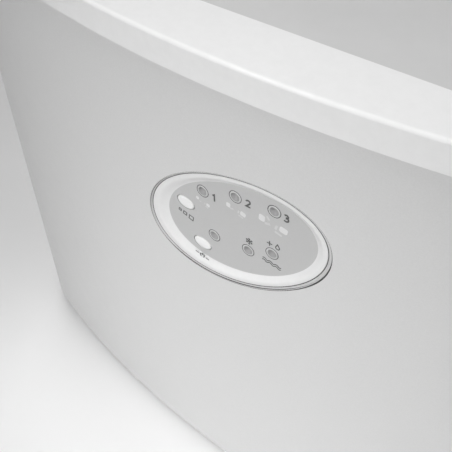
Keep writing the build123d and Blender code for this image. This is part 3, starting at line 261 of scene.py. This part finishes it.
# an oval ring swept from rows of (long half, short half, shift, proud, finish, push by turn)
def ovalRing(name, profile, mats, body, closed):
    steps = faceSet["ovalSteps"]
    bm = bmesh.new()
    loops = []
    for longHalf, shortHalf, shift, proud, pick, push in profile:
        loop = []
        for i in range(steps):
            turn = 2 * math.pi * i / steps
            out = push(turn) if push else 0.0
            u = shift[0] + (longHalf + out) * math.cos(turn)
            v = shift[1] + (shortHalf + out) * math.sin(turn)
            loop.append(bm.verts.new(onPanel(u, v, proud)))
        loops.append(loop)
    spans = len(profile) if closed else len(profile) - 1
    for at in range(spans):
        near, far = loops[at], loops[(at + 1) % len(profile)]
        for i in range(steps):
            j = (i + 1) % steps
            face = bm.faces.new((near[i], near[j], far[j], far[i]))
            face.material_index = profile[at][4]
    return addPiece(name, meshFrom(name, bm), mats, body)


# white dish, sunk a little below the face: rounded lip, then a soft fall to the grey film
dishSet = {
    "outer": (43.9, 25.75),
    "outerShift": (0.0, 0.0),
    "inner": (36.55, 21.2),
    "innerShift": (2.0, 0.1),
    "lip": -0.6,
    "lipRound": 0.2,
    "lipSteps": 5,
    "floor": -2.2,
    "rows": 18,
    "flatShare": 0.25,
    "sink": -6.0,
}


def makeDish():
    s = dishSet
    (a0, b0), (a1, b1) = s["outer"], s["inner"]
    bend = s["lipRound"]
    profile = [(a0, b0, s["outerShift"], s["sink"], 0, None)]
    for row in range(s["lipSteps"] + 1):
        turn = math.pi / 2 * row / s["lipSteps"]
        step = bend * (1 - math.cos(turn))
        drop = s["lip"] - bend * (1 - math.sin(turn))
        profile.append((a0 - step, b0 - step, s["outerShift"], drop, 0, None))
    for row in range(1, s["rows"] + 1):
        share = row / s["rows"]
        fall = max(0.0, (share - s["flatShare"]) / (1 - s["flatShare"]))
        soft = fall * fall * (3 - 2 * fall)
        longHalf = a0 - bend + (a1 - a0 + bend) * share
        shortHalf = b0 - bend + (b1 - b0 + bend) * share
        shift = [p + (q - p) * share for p, q in zip(s["outerShift"], s["innerShift"])]
        drop = s["lip"] + (s["floor"] - s["lip"]) * soft
        profile.append((longHalf, shortHalf, shift, drop, 0, None))
    dish = ovalRing("panelDish", profile, [dishWhite], "body", closed=False)
    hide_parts("panel_surround")


# trim sleeve that lines the hole: seam round the dish in a dark grey that is painted shade, narrow ledge
# and rounded lip on the face in the shell's grey darkened as painted shade;
# rows are (share from dish to crest, proud, finish), skirt rows (past the crest, proud, finish, opens);
# finish 1 is the painted shade
rimSet = {
    "crest": (45.35, 26.75),
    "crestShift": (0.2, 0.0),
    "seam": [(0.02, -6.0, 1), (0.02, -0.7, 1), (0.24, -0.68, 1)],
    "ledge": [
        (0.25, -0.64, 0), (0.32, -0.61, 0), (0.55, -0.56, 0), (0.7, -0.45, 0), (0.78, -0.28, 0),
    ],
    "lip": [(0.83, -0.14, 0), (0.88, 0.0, 0), (0.93, 0.07, 0), (0.97, 0.1, 0), (1.0, 0.11, 0)],
    "skirt": [
        (0.19, 0.09, 0, False), (0.25, 0.045, 1, False), (0.27, 0.04, 1, True), (0.27, 0.02, 1, True),
        (-0.15, 0.02, 1, False), (-0.25, -0.3, 1, False),
    ],
    "shadeGap": 0.2,
    "shadeGapAt": 285.0,
    "shadeGapFade": 2,
    # the corner keys widen the painted shade strip at the lower right corner
    "corner": 0.5,
    "cornerAt": 322.0,
    "cornerFade": 14,
}


# painted shadow gap: the dark strip outside the lip widens along the bottom, and most at the lower right
# corner
def rimShadeWidth(turn):
    s = rimSet
    wide = max(0.0, math.cos(turn - math.radians(s["shadeGapAt"]))) ** s["shadeGapFade"]
    corner = max(0.0, math.cos(turn - math.radians(s["cornerAt"]))) ** s["cornerFade"]
    return s["shadeGap"] * wide + s["corner"] * corner


def makeRim():
    s = rimSet
    (a0, b0), (a1, b1) = dishSet["outer"], s["crest"]
    profile = []
    for share, proud, pick in s["seam"] + s["ledge"] + s["lip"]:
        shift = [p + (q - p) * share for p, q in zip(dishSet["outerShift"], s["crestShift"])]
        profile.append((a0 + (a1 - a0) * share, b0 + (b1 - b0) * share, shift, proud, pick, None))
    for out, proud, pick, opens in s["skirt"]:
        profile.append((a1 + out, b1 + out, s["crestShift"], proud, pick, rimShadeWidth if opens else None))
    foot = s["seam"][0][1]
    profile.append((a1 + out, b1 + out, s["crestShift"], foot, pick, None))
    rim = ovalRing("panelRim", profile, [rimShadedGrey, paintedGapShade], "body", closed=True)
    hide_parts("panel_bezel")


# a shape turned about the face normal at one spot, from (radius share, proud, finish) rows
def turnedOval(bm, spot, halfX, halfZ, profile, steps):
    loops = []
    for share, proud, pick in profile[:-1]:
        loop = []
        for i in range(steps):
            turn = 2 * math.pi * i / steps
            dx, dz = halfX * share * math.cos(turn), halfZ * share * math.sin(turn)
            loop.append(bm.verts.new(atSpot(spot[0] + dx, spot[1] + dz, proud)))
        loops.append(loop)
    tip = bm.verts.new(atSpot(spot[0], spot[1], profile[-1][1]))
    for at, (near, far) in enumerate(zip(loops, loops[1:])):
        for i in range(steps):
            face = bm.faces.new((near[i], near[(i + 1) % steps], far[(i + 1) % steps], far[i]))
            face.material_index = profile[at][2]
    last = loops[-1]
    for i in range(steps):
        face = bm.faces.new((last[i], last[(i + 1) % steps], tip))
        face.material_index = profile[-2][2]
    bm.faces.new(list(reversed(loops[0])))


# six lamp lenses: flat pale collar round a small bowl, the bowl in a darker grey that is painted shade
# of the dimple
lampSet = {
    "spots": [(-14, 12.05), (1.7, 17.75), (18.7, 19.75), (-9.4, -9.05), (7.1, -7.15), (18, -2.35)],
    "radius": 2.5,
    "bowl": 1.9,
    "bowlDeep": 1.3,
    "collar": -2.02,
    "collarEdge": 0.1,
    "collarShare": 0.96,
    "bowlLip": 0.03,
    "sink": -4.0,
    "rows": 10,
    "steps": 56,
}


def makeLenses():
    s = lampSet
    bm = bmesh.new()
    share = s["bowl"] / s["radius"]
    profile = [(1.0, s["sink"], 0), (1.0, s["collar"] - s["collarEdge"], 0)]
    profile += [(s["collarShare"], s["collar"], 0), (share + s["bowlLip"], s["collar"], 1)]
    for row in range(1, s["rows"]):
        run = 1 - row / s["rows"]
        profile.append((share * run, s["collar"] - s["bowlDeep"] * (1 - run * run), 1))
    profile.append((0.0, s["collar"] - s["bowlDeep"], 1))
    for spot in s["spots"]:
        turnedOval(bm, spot, s["radius"], s["radius"], profile, s["steps"])
    lenses = addPiece("lampLenses", meshFrom("lampLenses", bm), [lampPale, lampBowlShade], "body")
    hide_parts("led_lenses")


# two domed push buttons, each riding its own body
buttonSet = {
    "spots": {"select": (-23.6, 0.65), "power": (-16.1, -17.55)},
    "half": (4.35, 2.85),
    "film": -2.15,
    "rise": 0.65,
    "skirt": 0.3,
    "domeStart": 0.1,
    "sink": -5.0,
    "rows": 12,
    "steps": 72,
}


def makeButtons():
    s = buttonSet
    for body, spot in s["spots"].items():
        bm = bmesh.new()
        profile = [(1.0, s["sink"], 0), (1.0, s["film"] - s["skirt"], 0)]
        for row in range(s["rows"]):
            turn = math.pi / 2 * row / s["rows"]
            dome = (s["rise"] + s["domeStart"]) * math.sin(turn)
            profile.append((math.cos(turn), s["film"] - s["domeStart"] + dome, 0))
        profile.append((0.0, s["film"] + s["rise"], 0))
        turnedOval(bm, spot, s["half"][0], s["half"][1], profile, s["steps"])
        cap = addPiece(body + "Cap", meshFrom(body + "Cap", bm), [capWhite], body)
        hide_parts(body + "_button")


# flat print on the film: filled outlines and strokes, each a thin closed plate
printSet = {"film": -2.15, "thick": 0.05, "under": 0.02, "mitreLeast": 0.45}


def plateOf(bm, outline, floor):
    top = [bm.verts.new(atSpot(x, z, floor + printSet["thick"])) for x, z in outline]
    low = [bm.verts.new(atSpot(x, z, floor - printSet["under"])) for x, z in outline]
    bm.faces.new(top)
    bm.faces.new(list(reversed(low)))
    for i in range(len(outline)):
        j = (i + 1) % len(outline)
        bm.faces.new((top[j], top[i], low[i], low[j]))


# a stroke of constant width along a line of points, closed on itself or with square ends
def strokeOf(bm, points, width, floor, closed=False):
    count = len(points)
    left, right = [], []
    for i in range(count):
        before = points[i - 1] if closed or i > 0 else points[i]
        after = points[(i + 1) % count] if closed or i < count - 1 else points[i]
        one = Vector((points[i][0] - before[0], points[i][1] - before[1]))
        two = Vector((after[0] - points[i][0], after[1] - points[i][1]))
        one = one.normalized() if one.length > 0 else two.normalized()
        two = two.normalized() if two.length > 0 else one
        mid = (one + two).normalized()
        half = width / 2 / max(printSet["mitreLeast"], mid.dot(one))
        left.append((points[i][0] - mid.y * half, points[i][1] + mid.x * half))
        right.append((points[i][0] + mid.y * half, points[i][1] - mid.x * half))
    rows = []
    for lift in (printSet["thick"], -printSet["under"]):
        rows.append([bm.verts.new(atSpot(x, z, floor + lift)) for x, z in left])
        rows.append([bm.verts.new(atSpot(x, z, floor + lift)) for x, z in right])
    topLeft, topRight, lowLeft, lowRight = rows
    for i in range(count if closed else count - 1):
        j = (i + 1) % count
        bm.faces.new((topLeft[i], topRight[i], topRight[j], topLeft[j]))
        bm.faces.new((lowLeft[j], lowRight[j], lowRight[i], lowLeft[i]))
        bm.faces.new((topLeft[j], lowLeft[j], lowLeft[i], topLeft[i]))
        bm.faces.new((topRight[i], lowRight[i], lowRight[j], topRight[j]))
    if not closed:
        bm.faces.new((topLeft[0], lowLeft[0], lowRight[0], topRight[0]))
        bm.faces.new((topRight[-1], lowRight[-1], lowLeft[-1], topLeft[-1]))


# points of a mark drawn about (0, 0), turned and set at a spot
def placed(points, spot, size=1.0, turn=0.0):
    c, n = math.cos(math.radians(turn)), math.sin(math.radians(turn))
    return [(spot[0] + size * (x * c - z * n), spot[1] + size * (x * n + z * c)) for x, z in points]


# points along an arc, from one turn in degrees to another
def arcOf(radius, start, end, steps, centre=(0.0, 0.0)):
    turns = [math.radians(start + (end - start) * i / steps) for i in range(steps + 1)]
    return [(centre[0] + radius * math.cos(t), centre[1] + radius * math.sin(t)) for t in turns]


def printPiece(name, draw, mat):
    bm = bmesh.new()
    draw(bm)
    mark = addPiece(name, meshFrom(name, bm), [mat], "body", smooth=False)


# thin dark ring round every lamp
ringSet = {"inner": 2.58, "outer": 2.88, "steps": 64}


def drawLampRings(bm):
    width = ringSet["outer"] - ringSet["inner"]
    for spot in lampSet["spots"]:
        circle = arcOf((ringSet["inner"] + ringSet["outer"]) / 2, 0, 360, ringSet["steps"])[:-1]
        strokeOf(bm, placed(circle, spot), width, printSet["film"], closed=True)


# plain numerals beside the three size lamps, drawn one unit tall; arcs as arcOf takes them
numeralSet = {
    "spots": [(-8.51, 11.55), (7.43, 17.37), (23.74, 19.12)],
    "tall": 3.3,
    "stroke": 0.72,
    "one": [(-0.2, 0.3), (0.06, 0.5), (0.06, -0.5)],
    "twoArc": (0.26, 165, -35, 12, (0.0, 0.24)),
    "twoFoot": [(-0.28, -0.42), (0.3, -0.42)],
    "threeTop": (0.24, 150, -80, 10, (-0.02, 0.22)),
    "threeLow": (0.28, 80, -150, 12, (-0.02, -0.22)),
}


def drawNumerals(bm):
    s = numeralSet
    two = arcOf(*s["twoArc"]) + s["twoFoot"]
    three = arcOf(*s["threeTop"]) + arcOf(*s["threeLow"])
    for shape, spot in zip((s["one"], two, three), s["spots"]):
        strokeOf(bm, placed(shape, spot, s["tall"]), s["stroke"], printSet["film"])


# line marks under the buttons and round the state lamps: spots first, then each mark's sizes
markSet = {
    "stroke": 0.42,
    "select": (-24.1, -5.85),
    "power": (-16.2, -24.45),
    "ice": (7.67, -1.92),
    "add": (18.68, 2.47),
    "water": (17.9, -7.95),
    "cubes": [(-3.1, 1.1), (-0.4, 1.6), (2.9, 2.1)],  # centre and side, growing: pick a size
    "cubesTurn": -13.0,
    "starArm": 1.65,
    "starTurn": 30,
    "twig": (0.85, 1.35, 0.42),  # start and end along the arm, lean
    "twigThin": 0.8,
    "plus": [[(-3.0, 0), (-0.6, 0)], [(-1.8, 1.2), (-1.8, -1.2)]],
    "plusThick": 1.2,
    "drop": (0.85, 150, 390, 16, (1.7, -0.45)),  # an arc, as arcOf takes it
    "dropTip": (1.7, 1.35),
    "waveRows": (0.55, -0.55),
    "waveWide": 8.4,
    "waveTall": 0.36,
    "waveCount": 3,
    "waveSteps": 12,
    "waveTurn": -9.0,
}


def drawSizeCubes(bm):
    s = markSet
    for x, side in s["cubes"]:
        h = side / 2
        square = [(x - h, h), (x + h, h), (x + h, -h), (x - h, -h)]
        points = placed(square, s["select"], turn=s["cubesTurn"])
        strokeOf(bm, points, s["stroke"], printSet["film"], closed=True)


def drawSnowStar(bm):
    s = markSet
    start, end, lean = s["twig"]
    arm = [(-s["starArm"], 0), (s["starArm"], 0)]
    for turn in (0, 60, 120):
        points = placed(arm, s["ice"], turn=turn + s["starTurn"])
        strokeOf(bm, points, s["stroke"], printSet["film"])
    for turn in range(0, 360, 60):
        for side in (-1, 1):
            twig = [(start, 0), (end, lean * side)]
            points = placed(twig, s["ice"], turn=turn + s["starTurn"])
            strokeOf(bm, points, s["stroke"] * s["twigThin"], printSet["film"])


def drawPlusAndDrop(bm):
    s = markSet
    for bar in s["plus"]:
        strokeOf(bm, placed(bar, s["add"]), s["stroke"] * s["plusThick"], printSet["film"])
    drop = arcOf(*s["drop"]) + [s["dropTip"]]
    strokeOf(bm, placed(drop, s["add"]), s["stroke"], printSet["film"], closed=True)


def drawWaves(bm):
    s = markSet
    steps = s["waveCount"] * s["waveSteps"]
    for dz in s["waveRows"]:
        wave = []
        for i in range(steps + 1):
            swing = s["waveTall"] * math.sin(2 * math.pi * i / s["waveSteps"])
            wave.append((s["waveWide"] * (i / steps - 0.5), dz + swing))
        points = placed(wave, s["water"], turn=s["waveTurn"])
        strokeOf(bm, points, s["stroke"], printSet["film"])


def drawMarks(bm):
    drawSizeCubes(bm)
    drawSnowStar(bm)
    drawPlusAndDrop(bm)
    drawWaves(bm)


# open ring with a bar between two short rules, on the edge of the dish
powerSet = {
    "ring": (1.05, 125, 415, 24),  # an arc, as arcOf takes it
    "bar": [(0, 1.45), (0, 0.1)],
    "rules": [[(-3.6, 0), (-1.9, 0)], [(1.9, 0), (3.6, 0)]],
    "turn": -10.5,
    "floor": -1.45,
}


def drawPowerMark(bm):
    s = powerSet
    for line in [arcOf(*s["ring"]), s["bar"]] + s["rules"]:
        points = placed(line, markSet["power"], turn=s["turn"])
        strokeOf(bm, points, markSet["stroke"], s["floor"])


# pairs of white cubes in three sizes, each drawn as three lit faces: (spot, half sizes, turn)
cubeSet = {
    "bright": [
        ((13.45, 13.84), (1.35, 1.6), -6), ((22.70, 12.40), (1.75, 1.45), -13),
        ((-1.70, 11.95), (0.95, 1.1), -6), ((5.03, 10.84), (1.25, 1.1), -13),
        ((-16.91, 7.04), (0.7, 0.75), -6), ((-11.73, 5.93), (0.85, 0.8), -13),
    ],
    "pale": [
        ((15.93, 12.24), (1.25, 0.6), 10), ((19.60, 12.33), (0.5, 1.2), -18),
        ((20.54, 9.64), (1.6, 0.5), -16), ((-0.06, 10.93), (0.8, 0.4), 10),
        ((2.98, 10.96), (0.35, 0.8), -18), ((3.99, 9.11), (1.1, 0.4), -16),
        ((-15.53, 6.00), (0.5, 0.3), 10), ((-13.26, 6.04), (0.25, 0.55), -18),
        ((-12.41, 4.63), (0.75, 0.3), -16), ((16.20, 15.07), (0.5, 1.0), 30),
    ],
    "corner": 0.3,  # corner radius as a share of the shorter side
    "cornerSteps": 5,
}


# small rounded box outline drawn about (0, 0)
def roundedBox(halfX, halfZ):
    bend = 2 * min(halfX, halfZ) * cubeSet["corner"]
    outline = []
    for sx, sz, start in ((1, 1, 0), (-1, 1, 90), (-1, -1, 180), (1, -1, 270)):
        centre = (sx * (halfX - bend), sz * (halfZ - bend))
        outline += arcOf(bend, start, start + 90, cubeSet["cornerSteps"], centre)
    return outline


def drawCubes(bm, tone):
    for spot, (halfX, halfZ), turn in cubeSet[tone]:
        outline = placed(roundedBox(halfX, halfZ), spot, turn=turn)
        plateOf(bm, outline, printSet["film"])


makeDish()
makeRim()
makeLenses()
makeButtons()
printPiece("lampRings", drawLampRings, printLine)
printPiece("sizeNumerals", drawNumerals, printDark)
printPiece("panelMarks", drawMarks, printDark)
printPiece("powerMark", drawPowerMark, printLine)
printPiece("cubesBright", lambda bm: drawCubes(bm, "bright"), printWhite)
printPiece("cubesPale", lambda bm: drawCubes(bm, "pale"), printPale)
print("panel dish, rim, lamps, buttons and print made")

# floor, sky and lamps, in metres and watts
stageSet = {
    "floorSize": 4.0,
    # floor tones from the front to the back left: a painted falloff of the light
    "floorShadeTones": [(0.0, 247), (0.2, 244), (0.4, 242), (0.6, 243), (0.85, 236), (1.0, 233)],
    "floorTurn": 215.4,
    "floorReach": 0.36,
    "floorRough": 0.7,
    "floorSpecular": 0.2,
    "sky": 0.19,
    "spotBlend": 1.0,
    "faceSpot": {
        "place": (0.0, -1.1, 0.9), "aim": (0.005, -0.15, 0.118),
        "power": 46.0, "cone": 20.5, "soft": 0.2,
    },
    "lowSpot": {
        "place": (0.0, -1.1, 0.9), "aim": (0.01, -0.15, 0.10),
        "power": 73.0, "cone": 15.0, "soft": 0.2,
    },
    "glintLamp": {
        "place": (-0.5, -0.86, 1.07), "aim": (0.02, -0.15, 0.26),
        "size": 0.32, "thin": 0.08, "power": 1.1,
    },
    "topLamp": {
        "place": (0.0, -0.3, 1.25), "aim": (-0.03, -0.15, 0.13), "size": 0.7, "power": 3.7,
    },
    "rearLamp": {
        "place": (-1.0, 0.7, 0.9), "aim": (0, 0, 0.13), "size": 0.9, "power": 6.0,
    },
    "sideLamp": {
        "place": (0.9, -0.2, 0.9), "aim": (-0.03, -0.15, 0.13), "size": 0.7, "power": 1.2,
    },
}


# pale floor with painted shade: a little darker towards the back left, where less light reaches
def makeFloor():
    s = stageSet
    mesh = bpy.data.meshes.new("floor")
    half = s["floorSize"] / 2
    corners = [(-half, -half, 0), (half, -half, 0), (half, half, 0), (-half, half, 0)]
    mesh.from_pydata(corners, [], [(0, 1, 2, 3)])
    floor = bpy.data.objects.new("floor", mesh)
    bpy.context.scene.collection.objects.link(floor)
    pale = grey(s["floorShadeTones"][0][1])
    mat, tree, shader = newFinish("floorPale", pale, s["floorRough"], specular=s["floorSpecular"])
    place = tree.nodes.new("ShaderNodeTexCoord")
    turn = tree.nodes.new("ShaderNodeMapping")
    turn.inputs["Rotation"].default_value = (0, 0, math.radians(s["floorTurn"]))
    turn.inputs["Scale"].default_value = [1 / s["floorReach"]] * 3
    fade = tree.nodes.new("ShaderNodeTexGradient")
    tree.links.new(place.outputs["Object"], turn.inputs["Vector"])
    tree.links.new(turn.outputs["Vector"], fade.inputs["Vector"])
    tones = rampOf(tree, fade.outputs["Fac"], [(at, grey(tone)) for at, tone in s["floorShadeTones"]])
    tree.links.new(tones.outputs["Color"], shader.inputs["Base Color"])
    mesh.materials.append(mat)


def hangLamp(name, lamp, spec):
    lamp.energy = spec["power"]
    obj = bpy.data.objects.new(name, lamp)
    obj.location = spec["place"]
    towards = Vector(spec["aim"]) - Vector(spec["place"])
    obj.rotation_euler = towards.to_track_quat("-Z", "Y").to_euler()
    bpy.context.scene.collection.objects.link(obj)
    return obj


# two soft spots on the face and soft discs above, behind and beside, none of them mirrored;
# a thin strip, seen only as a mirrored glint, draws the bright line along the lid edge
def makeLamps():
    for name in ("faceSpot", "lowSpot"):
        spec = stageSet[name]
        spot = bpy.data.lights.new(name, "SPOT")
        spot.spot_size = math.radians(spec["cone"])
        spot.spot_blend = stageSet["spotBlend"]
        spot.shadow_soft_size = spec["soft"]
        hangLamp(name, spot, spec).visible_glossy = False
    spec = stageSet["glintLamp"]
    glint = bpy.data.lights.new("glintLamp", "AREA")
    glint.shape = "RECTANGLE"
    glint.size, glint.size_y = spec["size"], spec["thin"]
    hangLamp("glintLamp", glint, spec).visible_diffuse = False
    for name in ("topLamp", "rearLamp", "sideLamp"):
        disc = bpy.data.lights.new(name, "AREA")
        disc.shape = "DISK"
        disc.size = stageSet[name]["size"]
        hangLamp(name, disc, stageSet[name]).visible_glossy = False


def makeSky():
    world = bpy.data.worlds.new("studio")
    bpy.context.scene.world = world
    world.use_nodes = True
    sky = world.node_tree.nodes["Background"]
    sky.inputs["Color"].default_value = (1, 1, 1, 1)
    sky.inputs["Strength"].default_value = stageSet["sky"]


makeFloor()
makeSky()
makeLamps()

# place in metres, turns in radians, focal length in pixels of the square picture
cameraSet = {
    "place": (0.12108, -0.31130, 0.39179),
    "yaw": 0.6786,
    "pitch": 0.7898,
    "roll": 0.0453,
    "focalPixels": 773.2,
    "imagePixels": 452,
    "sensorWidth": 36.0,
    "clipStart": 0.01,
}


def makeCamera():
    c = cameraSet
    cam = bpy.data.cameras.new("photoCamera")
    cam.sensor_fit = "HORIZONTAL"
    cam.sensor_width = c["sensorWidth"]
    cam.lens = c["focalPixels"] * cam.sensor_width / c["imagePixels"]
    cam.clip_start = c["clipStart"]
    obj = bpy.data.objects.new("photoCamera", cam)
    right = Vector((math.cos(c["yaw"]), math.sin(c["yaw"]), 0))
    ahead = Vector((-math.sin(c["yaw"]), math.cos(c["yaw"]), 0))
    down = Vector((0, 0, -1))
    downTilt = down * math.cos(c["pitch"]) - ahead * math.sin(c["pitch"])
    aheadTilt = down * math.sin(c["pitch"]) + ahead * math.cos(c["pitch"])
    rightRoll = right * math.cos(c["roll"]) + downTilt * math.sin(c["roll"])
    downRoll = downTilt * math.cos(c["roll"]) - right * math.sin(c["roll"])
    obj.matrix_world = Matrix((rightRoll, -downRoll, -aheadTilt)).transposed().to_4x4()
    obj.location = c["place"]
    bpy.context.scene.collection.objects.link(obj)
    bpy.context.scene.camera = obj


makeCamera()
bpy.context.scene.view_settings.view_transform = "Standard"
print("stage ready")
